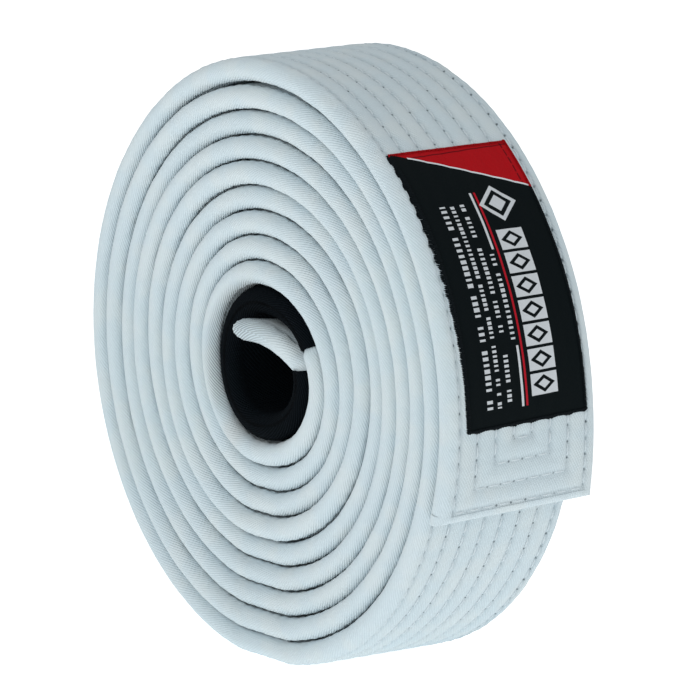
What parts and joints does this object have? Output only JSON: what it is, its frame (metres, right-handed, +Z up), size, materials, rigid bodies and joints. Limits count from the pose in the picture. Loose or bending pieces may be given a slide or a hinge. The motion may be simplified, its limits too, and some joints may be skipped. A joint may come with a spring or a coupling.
{
  "type": "martial arts belt",
  "caption": "Quilted white cotton martial arts belt, rolled into a coil on its rim, with a black rank bar near its inner end and a woven label at its free end.",
  "frame": {"origin": "on the surface that the roll stands on, under the middle of its bounding box", "axes": "+Z up, the roll's axis along Y, the label's side of the roll towards +X, and the free end hanging down that side"},
  "size_m": [0.1428, 0.04, 0.1374],
  "materials": {
    "cotton_cover": "white cotton twill, matt",
    "cotton_core": "unbleached cotton wadding, matt",
    "white_thread": "white spun sewing thread, slight sheen",
    "black_cotton": "black cotton twill, matt",
    "black_thread": "black spun sewing thread, slight sheen",
    "woven_label": "damask-woven black label with a red corner, soft satin"
  },
  "bodies": {
    "coil": {"cover_turn_1": "cotton_cover", "cover_turn_2": "cotton_cover", "cover_turn_3": "cotton_cover", "cover_turn_4": "cotton_cover", "cover_turn_5": "cotton_cover", "cover_turn_6": "cotton_cover", "cover_turn_7": "cotton_cover", "cover_turn_8": "cotton_cover", "cover_turn_9": "cotton_cover", "cover_turn_10": "cotton_cover", "core_ply_1_rolled": "cotton_core", "core_ply_2_rolled": "cotton_core", "quilting_row_1": "white_thread", "quilting_row_2": "white_thread", "quilting_row_3": "white_thread", "quilting_row_4": "white_thread", "quilting_row_5": "white_thread", "quilting_row_6": "white_thread", "quilting_row_7": "white_thread", "quilting_row_8": "white_thread", "rank_bar_sleeve": "black_cotton", "rank_bar_seam_1": "black_thread", "rank_bar_seam_2": "black_thread"},
    "outer_end": {"cover_outer_end": "cotton_cover", "core_ply_1_outer_end": "cotton_core", "core_ply_2_outer_end": "cotton_core", "end_loop_1": "white_thread", "end_loop_2": "white_thread", "end_loop_3": "white_thread", "end_loop_4": "white_thread", "label_patch": "woven_label", "label_seam": "black_thread"},
    "inner_tip": {"cover_inner_tip": "cotton_cover", "core_ply_1_inner_tip": "cotton_core", "core_ply_2_inner_tip": "cotton_core"}
  },
  "joints": [
    {"name": "outer_end_lift", "type": "hinge", "parent": "coil", "child": "outer_end", "pos_m": [0.01992, 0, 0.13426], "axis": [0, -1, 0], "range_deg": [0, 75]},
    {"name": "inner_tip_flex", "type": "hinge", "parent": "coil", "child": "inner_tip", "pos_m": [0.00955, 0, 0.06918], "axis": [0, -1, 0], "range_deg": [-6, 35], "stiffness_Nm_per_rad": 0.02}
  ]
}
